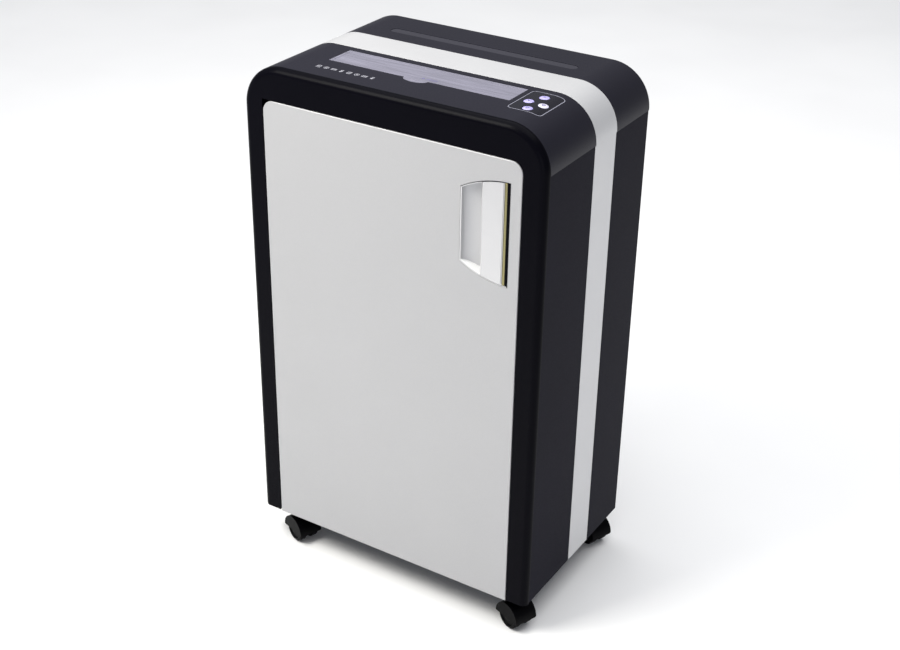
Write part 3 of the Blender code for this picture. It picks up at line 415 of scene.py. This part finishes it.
def makeHead():
    shell = dict(wall=0.0025, rearRound=0.005, grooveLow=(-0.125, 0.0638), grooveHigh=(0.130, 0.0778),
                 grooveDepth=0.0010, grooveCorner=0.0069, liningDrop=0.0003, liningGap=0.0004,
                 bandThickness=0.0010, bandChannel=0.0013, bedLow=(-0.1265, -0.0790, 0.0062),
                 bedHigh=(0.1240, -0.0178, 0.0010), slotLow=(-0.1145, -0.0480), slotHigh=(0.1145, -0.0400))
    front, back, seam, top = headLow[1], headHigh[1], headLow[2], wrap["top"]
    bm = archBlock(0, front, back, seam)
    rearOutline = lambda edge: bothEnds(edge, lambda co: co.y > back - near) and not bothEnds(
        edge, lambda co: co.z < seam + near)
    mesh = meshFrom(roundEdges(bm, rearOutline, shell["rearRound"], 6))
    inner = meshFrom(archBlock(shell["wall"], front - 0.01, back - shell["wall"], seam - 0.01))
    channel = archSkin(-0.002, shell["bandChannel"], bandLow[1] - wrap["gap"], bandHigh[1] + wrap["gap"],
                       seam - 0.01)
    mesh = minus(mesh, inner, channel)
    bedLow, bedHigh = shell["bedLow"], shell["bedHigh"]
    mesh = plus(mesh, meshFrom(block((*bedLow[:2], top - bedLow[2]), (*bedHigh[:2], top - bedHigh[2]))))
    axis = (flap["rear"] - flap["barrel"], top - flap["barrel"])
    bedGap, bedEnd = 0.0003, 0.0002
    barrelBed = bar(flap["barrel"] + bedGap, (flap["left"] - bedEnd, *axis), (flap["right"] + bedEnd, *axis))
    slot = meshFrom(block((*shell["slotLow"], top - 0.01), (*shell["slotHigh"], top)))
    gap = flap["clearance"]
    recess = flapBlock(gap, flap["rear"] + gap, top - flap["thickness"] - gap, top + 0.01)
    mesh = minus(mesh, recess, barrelBed, slot)
    bed = common(controlSkin(-0.002, control["bed"]), controlBlock(0))
    groove = block((*shell["grooveLow"], top - shell["grooveDepth"]), (*shell["grooveHigh"], top + 0.01))
    groove = meshFrom(roundEdges(groove, lambda edge: runsAlong(edge, 2), shell["grooveCorner"], 10))
    mesh = minus(mesh, bed, *buttonHoles(), groove)
    place("headShell", mesh, "cabinet", headBlack, ["head_shell"], 0.0004, 3)
    inset = shell["liningGap"]
    low, high = shell["grooveLow"], shell["grooveHigh"]
    lining = block((low[0] + inset, low[1] + inset, top - shell["grooveDepth"]),
                   (high[0] - inset, high[1] - inset, top - shell["liningDrop"]))
    lining = roundEdges(lining, lambda edge: runsAlong(edge, 2), shell["grooveCorner"] - inset, 10)
    place("grooveLining", meshFrom(lining), "cabinet", grooveGrey, (), 0.0002)
    band = archSkin(0, shell["bandThickness"], bandLow[1], bandHigh[1], bandLow[2])
    place("headBand", band, "cabinet", bandSilver, ["head_band"], 0.00025)
    print("head shell and band placed")


def makeControlPanel():
    overlay = minus(common(controlSkin(0, control["skin"]), controlBlock(wrap["gap"])), *buttonHoles())
    place("controlOverlay", overlay, "cabinet", overlayBlack, ["control_overlay"], 0.00012)
    inset = control["lineInset"]
    outline = minus(controlBlock(inset), controlBlock(inset + control["lineWidth"]))
    proud = controlSkin(-control["lineRise"], control["lineSink"])
    place("controlOutline", common(proud, outline), "cabinet", lineGrey, (), 0)
    print("control panel placed")


def standAt(mesh, x, y):
    # a shape made on the origin, moved onto the skin and leaned with it
    centre, facing = buttonFrame(x, y)
    turn = Matrix.Rotation(math.atan2(facing.x, facing.z), 4, "Y")
    mesh.transform(Matrix.Translation(centre) @ turn)
    return mesh


def flatRing(inner, outer, low, high):
    disc = bar(outer, (0, 0, low), (0, 0, high))
    return minus(disc, bar(inner, (0, 0, low - 0.001), (0, 0, high + 0.001)))


def flatArrow(size, low, high, heading):
    # three-sided prism that points along heading
    bm = bmesh.new()
    bmesh.ops.create_cone(bm, cap_ends=True, segments=3, radius1=size, radius2=size, depth=high - low)
    bmesh.ops.rotate(bm, verts=bm.verts, cent=(0, 0, 0), matrix=Matrix.Rotation(heading, 3, "Z"))
    bmesh.ops.translate(bm, verts=bm.verts, vec=(0, 0, (low + high) / 2))
    return meshFrom(bm)


def makeButtons():
    cap = dict(radius=0.0060, flange=0.0074, stem=0.0015, steps=64)
    radius, flange, stem = cap["radius"], cap["flange"], cap["stem"]
    profile = [(0, 0.00058), (0.0016, 0.00055), (0.0032, 0.00044), (0.0046, 0.00022), (0.0055, -0.0001),
               (0.0059, -0.0005), (radius, -0.0010), (radius, -0.0036), (flange, -0.0036), (flange, -0.0046),
               (stem, -0.0046), (stem, -0.0110), (0, -0.0110)]
    bodies = dict(button_rear="rear_button", button_left="left_button", button_front="front_button",
                  button_right="right_button")
    low, high = 0.0002, 0.00062     # the marks stand this high above the skin
    arrow, half, split = 0.0019, 0.0017, 0.0004
    marks = dict(button_rear=[flatArrow(arrow, low, high, 0)],
                 button_left=[flatArrow(arrow, low, high, math.pi)],
                 button_front=[meshFrom(block((-half, -half, low), (-split, half, high))),
                               meshFrom(block((split, -half, low), (half, half, high)))],
                 button_right=[flatRing(0.0012, 0.0022, low, high),
                               bar(0.0006, (0, 0, low), (0, 0, high), 24)])
    for node, (x, y) in buttonPlaces.items():
        material = buttonWhite if node == "button_right" else buttonLilac
        mesh = standAt(spunMesh(profile, cap["steps"]), x, y)
        short = bodies[node].split("_")[0]
        place(short + "ButtonCap", mesh, bodies[node], material, [node], 0)
        for index, mark in enumerate(marks[node]):
            place(f"{short}ButtonMark{index}", standAt(mark, x, y), bodies[node], markViolet, (), 0)
    print("buttons placed")


makeHead()
makeControlPanel()
makeButtons()


# printed signs in front of the flap: sheet, disc, card, clip, twice over
def makePictograms():
    row = dict(first=-0.1165, step=0.0105, y=-0.0900, wide=0.0068, deep=0.0064, line=0.0008, count=8,
               sink=0.0002, rise=0.00003)
    low, high = wrap["top"] - row["sink"], wrap["top"] + row["rise"]
    line = row["line"]

    def frameMark(x, y, wide, deep):
        outer = meshFrom(block((x - wide / 2, y - deep / 2, low), (x + wide / 2, y + deep / 2, high)))
        return minus(outer, meshFrom(block((x - wide / 2 + line, y - deep / 2 + line, low - 0.001),
                                           (x + wide / 2 - line, y + deep / 2 - line, high + 0.001))))

    def barMark(x, y, wide, deep):
        return meshFrom(block((x - wide / 2, y - deep / 2, low), (x + wide / 2, y + deep / 2, high)))

    def ringMark(x, y, radius):
        ring = flatRing(radius - line, radius, low, high)
        ring.transform(Matrix.Translation((x, y, 0)))
        return ring

    marks = []
    for index in range(row["count"]):
        x, y = row["first"] + row["step"] * index, row["y"]
        wide, deep = row["wide"], row["deep"]
        kind = index % 4
        if kind == 0:      # sheet with two lines
            marks += [frameMark(x, y, wide * 0.8, deep), barMark(x, y + line, wide * 0.4, line),
                      barMark(x, y - line, wide * 0.4, line)]
        elif kind == 1:    # disc
            marks += [ringMark(x, y, deep / 2), ringMark(x, y, deep / 5)]
        elif kind == 2:    # card
            marks += [frameMark(x, y, wide, deep * 0.7), barMark(x, y + 0.0003, wide * 0.6, 0.0009)]
        else:              # clip
            marks += [frameMark(x, y, wide * 0.45, deep), barMark(x, y, line, deep * 0.55)]
    place("pictogramRow", joinedMesh(marks), "cabinet", printGrey, (), 0)
    print("pictograms placed")


makePictograms()


def makeFlap():
    top = wrap["top"]
    axis = (flap["rear"] - flap["barrel"], top - flap["barrel"])
    plate = flapBlock(0, axis[0] + 0.0003, top - flap["thickness"], top)
    barrel = bar(flap["barrel"] - 0.0001, (flap["left"] + 0.0002, *axis), (flap["right"] - 0.0002, *axis))
    bore = bar(flap["rodBore"], (-0.13, *axis), (0.13, *axis), 24)
    margin = flap["windowEdge"]
    window = block((flap["left"] + margin, flap["front"] + flap["windowFront"], top - flap["windowDepth"]),
                   (flap["right"] - margin, axis[0] - margin, top + 0.001))
    window = meshFrom(roundEdges(window, lambda edge: runsAlong(edge, 2), flap["windowCorner"], 4))
    mesh = minus(plus(plate, barrel), bore, window)
    place("feedFlap", mesh, "flap", flapLilac, ["feed_flap"], 0.0002)
    # small grip ridges on the thumb tab
    step = 0.0016
    front = flap["front"]
    ridges = [meshFrom(block((-0.0060, front - 0.0050 + step * index, top - 0.0001),
                             (0.0040, front - 0.0046 + step * index, top + 0.0002)))
              for index in range(3)]
    place("flapTabRidges", joinedMesh(ridges), "flap", flapLilac, (), 0)
    # feed mark: an arrowhead with three lines beside it
    low, high = top - 0.0004, top - 0.00022
    marks = [meshFrom(block((0.0080, -0.0600 + step * index, low), (0.0230, -0.0594 + step * index, high)))
             for index in range(3)]
    arrow = flatArrow(0.0026, low, high, 0)
    arrow.transform(Matrix.Translation((0.0040, -0.0581, 0)))
    place("flapFeedMark", joinedMesh(marks + [arrow]), "flap", markViolet, (), 0)
    print("feed flap placed")


makeFlap()


door = dict(corner=0.014, frontRound=0.0011, frontSteps=4)


def openingBlock(grow, front, back, foot):
    # the door's outline, grown by a margin
    half = doorHigh[0] + grow
    top = doorHigh[2] + grow
    bm = block((-half, front, foot), (half, back, top))
    return roundEdges(bm, lambda edge: runsAlong(edge, 1) and bothEnds(edge, lambda co: co.z > top - near),
                      door["corner"] + grow, 14)


def makeBezel():
    bezel = dict(outerRound=0.0083, innerRound=0.0012, doorGap=0.0004, hinge=(-0.1667, -0.1210), swing=0.0076,
                 swingFoot=0.040, swingTop=0.0008)
    face, back, foot = bezelLow[1], bezelHigh[1], bezelLow[2]
    bm = archBlock(0, face, back, foot)
    frontOutline = lambda edge: bothEnds(edge, lambda co: co.y < face + near) and not bothEnds(
        edge, lambda co: co.z < foot + near)
    mesh = meshFrom(roundEdges(bm, frontOutline, bezel["outerRound"], 9))
    mesh = minus(mesh, meshFrom(openingBlock(bezel["doorGap"], face - 0.02, back + 0.02, foot - 0.02)))
    bm = bmesh.new()
    bm.from_mesh(mesh)
    half = doorHigh[0] + bezel["doorGap"] + 0.0002
    top = doorHigh[2] + bezel["doorGap"] + 0.0002
    inside = lambda co: co.y < face + near and abs(co.x) < half and co.z < top
    mesh = meshFrom(roundEdges(bm, lambda edge: bothEnds(edge, inside) and not bothEnds(
        edge, lambda co: co.z < foot + near), bezel["innerRound"], 4))
    # room for the door's edge as it turns about the hinge
    swing = bar(bezel["swing"], (*bezel["hinge"], bezel["swingFoot"]),
                (*bezel["hinge"], doorHigh[2] + bezel["swingTop"]), 64)
    place("frontBezel", minus(mesh, swing), "cabinet", bezelBlack, ["front_bezel"], 0.0003)
    print("bezel placed")


handle = dict(left=0.0960, right=0.1585, middle=0.53575, arc=0.120, drop=0.05775, cupBack=-0.1112,
              cupWall=0.0016, scoopInset=0.0018, scoopReach=0.0252, scoopRight=0.1540, rebateInset=0.0010,
              rebateDepth=0.0026, rebateGap=0.0006, rim=0.0010, rimInset=0.0004, rimDepth=0.0012, ledge=0.0006,
              lipInset=0.0014, lipLeft=0.1231, lipRight=0.1494, lipThickness=0.0022, lipRound=0.0009,
              bead=(0.1498, 0.1507), strip=(0.1509, 0.1541), stripDrop=0.0002, shadowLeft=0.1543,
              shadowDrop=0.0009)


def handleBlock(inset, front, back, left=None, right=None):
    # upright sides, arcs above and below that open towards the free edge of the door
    left = handle["left"] + inset if left is None else left
    right = handle["right"] - inset if right is None else right
    reach = 0.08
    low = (left, front, handle["middle"] - reach)
    high = (right, back, handle["middle"] + reach)
    arcs = [bar(handle["arc"] - inset, (handle["right"], front - 0.01, handle["middle"] + drop),
                (handle["right"], back + 0.01, handle["middle"] + drop), 288)
            for drop in (-handle["drop"], handle["drop"])]
    return common(meshFrom(block(low, high)), *arcs)


def makeDoor():
    face = doorLow[1]
    bm = openingBlock(0, face, doorHigh[1], doorLow[2])
    bm = roundEdges(bm, lambda edge: bothEnds(edge, lambda co: co.y < face + near), door["frontRound"],
                    door["frontSteps"])
    sheet = minus(meshFrom(bm), handleBlock(0, face - 0.01, doorHigh[1] + 0.01))
    place("doorPanel", sheet, "door", doorSilver, ["door_panel"], 0.0002)
    # finger scoop: a quarter-oval hollow that runs on behind the lip
    deep = handle["cupBack"] - handle["cupWall"]
    inset, reach = handle["scoopInset"], handle["scoopReach"]
    full = handle["left"] + inset + reach     # where the scoop gets to its full depth
    below, above = 0.45, 0.62
    oval = bar(1, (full, face, below), (full, face, above), 128, (reach, deep - face, 1))
    tunnel = meshFrom(block((full, face - 0.01, below), (handle["scoopRight"], deep, above)))
    hollow = plus(oval, tunnel)
    scoop = common(handleBlock(inset, face - 0.02, deep + 0.0004), hollow)
    rebate = handleBlock(handle["rebateInset"], face - 0.01, face + handle["rebateDepth"],
                         handle["lipLeft"] - handle["rebateGap"])
    # painted shadow: a black line let into the cup along the upper arc, standing for the shade at the cup's
    # upper edge
    shadowLineOuter = handleBlock(handle["rimInset"], face + 0.0001, face + handle["rimDepth"])
    shadowLineInner = shadowLineOuter.copy()
    shadowLineInner.transform(Matrix.Translation((-handle["rim"], 0, -handle["rim"])))
    rim = minus(shadowLineOuter, shadowLineInner)
    shadowLineBed = rim.copy()
    shadowLineBed.transform(Matrix.Translation((0, -0.0002, 0)))
    cup = minus(handleBlock(wrap["gap"], face + 0.0002, handle["cupBack"]), scoop, rebate, shadowLineBed)
    place("handleRim", rim, "door", bezelBlack, (), 0)
    # painted light: a thin near-white sheet on the lower floor of the scoop, where light from above falls
    floor = handleBlock(inset + 0.0001, face + 0.0006, deep + 0.0004)
    lifted = floor.copy()
    lifted.transform(Matrix.Translation((0, 0, handle["ledge"])))
    ledge = common(minus(floor, lifted), hollow)
    place("handleLedge", ledge, "door", paintedLightWhite, (), 0)
    # painted light: the cup wears the lighter copy of the door paint
    place("handleCup", cup, "door", litCupSilver, ["handle_cup"], 0.0002)
    lipFace, lipBack, lipInset = face + 0.0002, face + handle["lipThickness"], handle["lipInset"]
    lip = handleBlock(lipInset, lipFace, lipBack, handle["lipLeft"], handle["lipRight"])
    bm = bmesh.new()
    bm.from_mesh(lip)
    bm = roundEdges(bm, lambda edge: runsAlong(edge, 2) and bothEnds(
        edge, lambda co: co.x < handle["lipLeft"] + 0.0001), handle["lipRound"], 5)
    place("handleLip", meshFrom(bm), "door", lipSilver, ["handle_lip"], 0.00015)
    bead = handleBlock(lipInset, lipFace, lipBack, *handle["bead"])
    place("handleBead", bead, "door", lipSilver, (), 0.0002)
    # painted reflection: an olive strip near the lip's right edge
    strip = handleBlock(lipInset, lipFace + handle["stripDrop"], lipBack, *handle["strip"])
    place("handleStrip", strip, "door", reflectionOlive, (), 0.0008, 4)
    # painted shadow: a black block at the lip's right end, standing for the dark gap there
    shadow = handleBlock(lipInset, lipFace + handle["shadowDrop"], lipBack, handle["shadowLeft"])
    place("handleShadowGap", shadow, "door", bezelBlack, (), 0.0001)
    print("door and handle placed")


makeBezel()
makeDoor()


def makeCastors():
    castor = dict(trail=0.0125, axle=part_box("front_left_castor_wheel")[1][2] / 2, web=0.0188, webHalf=0.0035,
                  hub=0.0125, hubHalf=0.0034, fenderInner=0.0175, fenderOuter=0.0202, width=0.0150,
                  skirtInner=0.0148, skirt=0.0160, start=-4, sweep=184, heading=-21, neckHigh=0.0405,
                  collar=0.0080, stem=0.0040, stemTop=0.0535, bore=0.0028)
    right, front, rear = 0.165, -0.1005, 0.106
    places = dict(front_left=(-right, front), front_right=(right, front), rear_left=(-right, rear),
                  rear_right=(right, rear))
    trail, axle = castor["trail"], castor["axle"]
    webHalf, hubHalf = castor["webHalf"], castor["hubHalf"]
    upper = common(bar(castor["web"], (trail, -webHalf, axle), (trail, webHalf, axle), 72),
                   meshFrom(block((-0.02, -0.01, axle), (0.05, 0.01, 0.05))))
    web = plus(upper, bar(castor["hub"], (trail, -hubHalf, axle), (trail, hubHalf, axle), 64))
    bm = bmesh.new()
    bmesh.ops.create_grid(bm, x_segments=1, y_segments=1, size=0.5)
    thick = castor["fenderOuter"] - castor["fenderInner"]
    bmesh.ops.scale(bm, verts=bm.verts, vec=(thick, castor["width"] * 2, 1))
    bmesh.ops.translate(bm, verts=bm.verts, vec=(trail + castor["fenderInner"] + thick / 2, 0, axle))
    bmesh.ops.rotate(bm, verts=bm.verts, cent=(trail, 0, axle),
                     matrix=Matrix.Rotation(math.radians(-castor["start"]), 3, "Y"))
    bmesh.ops.spin(bm, geom=list(bm.verts) + list(bm.edges) + list(bm.faces), cent=(trail, 0, axle),
                   axis=(0, -1, 0), angle=math.radians(castor["sweep"]), steps=36)
    fender = meshFrom(bm)
    # side skirts over the upper half of both wheels
    skirts = []
    for side in (-1, 1):
        disc = bar(castor["fenderOuter"], (trail, side * castor["skirtInner"], axle),
                   (trail, side * castor["skirt"], axle), 72)
        middle = side * 0.0155
        half = meshFrom(block((-0.02, middle - 0.01, axle - 0.0005), (0.05, middle + 0.01, 0.05)))
        skirts.append(common(disc, half))
    neck = meshFrom(block((-0.0065, -hubHalf, 0.0200), (0.0100, hubHalf, castor["neckHigh"])))
    hood = plus(web, fender, *skirts, neck, bar(castor["collar"], (0, 0, 0.0400), (0, 0, 0.0425), 40),
                bar(castor["stem"], (0, 0, 0.0420), (0, 0, castor["stemTop"]), 32))
    hood = minus(hood, bar(castor["bore"], (trail, -0.01, axle), (trail, 0.01, axle), 32))
    # one wheel's half profile of (radius, distance from the middle)
    outer = [(0, 0.0145), (0.0040, 0.0145), (0.0052, 0.0141), (0.0056, 0.0130), (0.0118, 0.0126),
             (0.0126, 0.0137), (0.0146, 0.0140), (0.0158, 0.0136), (axle - 0.0003, 0.0128), (axle, 0.0118),
             (axle, 0.0056), (axle - 0.0006, 0.0047), (0.0024, 0.0045)]
    wheel = spunMesh(outer + [(radius, -height) for radius, height in reversed(outer)], 72)
    wheel.transform(Matrix.Rotation(math.pi / 2, 4, "X"))
    heading = Matrix.Rotation(math.radians(castor["heading"]), 4, "Z")
    for name, (x, y) in places.items():
        side = name.split("_")[0] + name.split("_")[1].capitalize()
        spot = Matrix.Translation((x, y, 0)) @ heading
        mesh = hood.copy()
        mesh.transform(spot)
        place(side + "CastorHood", mesh, name + "_castor", castorBlack, [name + "_castor_hood"], 0.0009, 3)
        mesh = wheel.copy()
        mesh.transform(spot @ Matrix.Translation((trail, 0, axle)))
        place(side + "CastorWheel", mesh, name + "_wheel", castorBlack, [name + "_castor_wheel"], 0)
    print("castors placed")


makeCastors()


# the rest keeps its CAD shape, with its edges broken
def softened(node, body, material, edge):
    bm = bmesh.new()
    bm.from_mesh(frame["nodes"][node].data)
    bmesh.ops.remove_doubles(bm, verts=bm.verts, dist=finish["weld"])
    bmesh.ops.dissolve_limit(bm, angle_limit=0.01, verts=bm.verts, edges=bm.edges)
    mesh = bpy.data.meshes.new(node)
    bm.to_mesh(mesh)
    bm.free()
    words = node.split("_")
    name = words[0] + "".join(word.capitalize() for word in words[1:])
    place(name, mesh, body, material, [node], edge)


def keepRest():
    finishes = {
        "left_side_panel": (panelBlack, 0.0003), "right_side_panel": (panelBlack, 0.0003),
        "back_panel": (panelBlack, 0), "base_plate": (panelBlack, 0.0004),
        "left_band_strip": (bandSilver, 0.00025), "right_band_strip": (bandSilver, 0.00025),
        "door_liner": (linerGrey, 0.0005), "waste_bin": (binGrey, 0.0005),
        "throat_guide": (linerGrey, 0.0003),
        "door_magnet": (linerGrey, 0.0005), "door_switch": (castorBlack, 0.0003),
        "power_inlet": (castorBlack, 0.0003), "drive_motor": (motorPaint, 0.0005),
        "control_board": (boardGreen, 0.0001), "power_board": (boardGreen, 0.0002),
        "front_cutter_shaft": (cutterSteel, 0.0002), "rear_cutter_shaft": (cutterSteel, 0.0002),
        "flap_rod": (steelTurned, 0.0001), "upper_hinge_pin": (steelTurned, 0.0002),
        "lower_hinge_pin": (steelTurned, 0.0002), "front_tie_rod": (steelTurned, 0.0003),
        "rear_tie_rod": (steelTurned, 0.0003), "reduction_axle": (steelTurned, 0.0003),
    }
    for node in ("left_front_bush", "left_rear_bush", "right_front_bush", "right_rear_bush"):
        finishes[node] = (bushBronze, 0.0001)
    for body, nodes in frame["record"]["behaviour"]["bodies"].items():
        for node in nodes:
            if frame["nodes"][node].hide_render:
                continue
            material, edge = finishes.get(node, (steelPlate, 0.0002))
            softened(node, body, material, edge)
    print("remaining parts finished")


keepRest()


def makeStage():
    bm = bmesh.new()
    bmesh.ops.create_grid(bm, x_segments=1, y_segments=1, size=12)
    mesh = bpy.data.meshes.new("floor")
    bm.to_mesh(mesh)
    bm.free()
    floor = bpy.data.objects.new("floor", mesh)
    collection.objects.link(floor)
    material = bpy.data.materials.new("floor white")
    material.use_nodes = True
    shader = material.node_tree.nodes["Principled BSDF"]
    shader.inputs["Roughness"].default_value = 0.9
    shader.inputs["Specular IOR Level"].default_value = 0.1
    tree = material.node_tree
    addShades(tree, shader, addNoise(tree, 3, 2), (0.93, 0.93, 0.93), (0.96, 0.96, 0.96))
    mesh.materials.append(material)


studio = dict(
    key=dict(spot=(-0.45, -0.75, 1.25), aim=(-0.12, -0.126, 0.55), size=(0.6, 0.6), power=15,
             shade=(1.0, 0.98, 0.92)),
    fill=dict(spot=(1.6, -2.4, 0.5), aim=(0.15, 0, 0.1), size=(1.2, 1.2), power=7, shade=(0.88, 0.91, 1.0)),
    side=dict(spot=(3.0, -0.6, 1.6), aim=(0, 0, 0.35), size=(1.6, 2.0), power=1.6, shade=(0.90, 0.92, 1.0)),
    top=dict(spot=(0.0, 0.0, 4.0), aim=(0, 0, 0), size=(5.0, 5.0), power=190, shade=(1.0, 1.0, 1.0)))


def addLight(name, spot, aim, size, power, shade):
    data = bpy.data.lights.new(name, "AREA")
    data.shape = "RECTANGLE"
    data.size, data.size_y = size
    data.energy = power
    data.color = shade
    light = bpy.data.objects.new(name, data)
    light.location = spot
    light.rotation_euler = (Vector(aim) - Vector(spot)).to_track_quat("-Z", "Y").to_euler()
    collection.objects.link(light)


def makeLight():
    world = bpy.data.worlds.new("studio")
    bpy.context.scene.world = world
    world.use_nodes = True
    sky = world.node_tree.nodes["Background"]
    sky.inputs["Color"].default_value = (0.93, 0.95, 1.0, 1)
    sky.inputs["Strength"].default_value = 0.34
    for name, light in studio.items():
        addLight(name, light["spot"], light["aim"], light["size"], light["power"], light["shade"])


def makeCamera():
    # angles in radians
    view = dict(spot=(0.8595, -1.3896, 1.2143), lens=59.376, yaw=0.54931, pitch=0.49924, roll=0.017623)
    yaw, pitch, roll = view["yaw"], view["pitch"], view["roll"]
    ahead = Vector((-math.sin(yaw) * math.cos(pitch), math.cos(yaw) * math.cos(pitch), -math.sin(pitch)))
    right = Vector((math.cos(yaw), math.sin(yaw), 0))
    up = right.cross(ahead)
    tiltedRight = right * math.cos(roll) + up * math.sin(roll)
    tiltedUp = up * math.cos(roll) - right * math.sin(roll)
    data = bpy.data.cameras.new("camera")
    data.lens = view["lens"]
    data.sensor_width = 36
    camera = bpy.data.objects.new("camera", data)
    turn = Matrix((tiltedRight, tiltedUp, -ahead)).transposed().to_4x4()
    camera.matrix_world = Matrix.Translation(view["spot"]) @ turn
    collection.objects.link(camera)
    bpy.context.scene.camera = camera


makeStage()
makeLight()
makeCamera()
bpy.context.scene.view_settings.view_transform = "Standard"
bpy.context.scene.view_settings.look = "None"
print("stage, light and camera set")
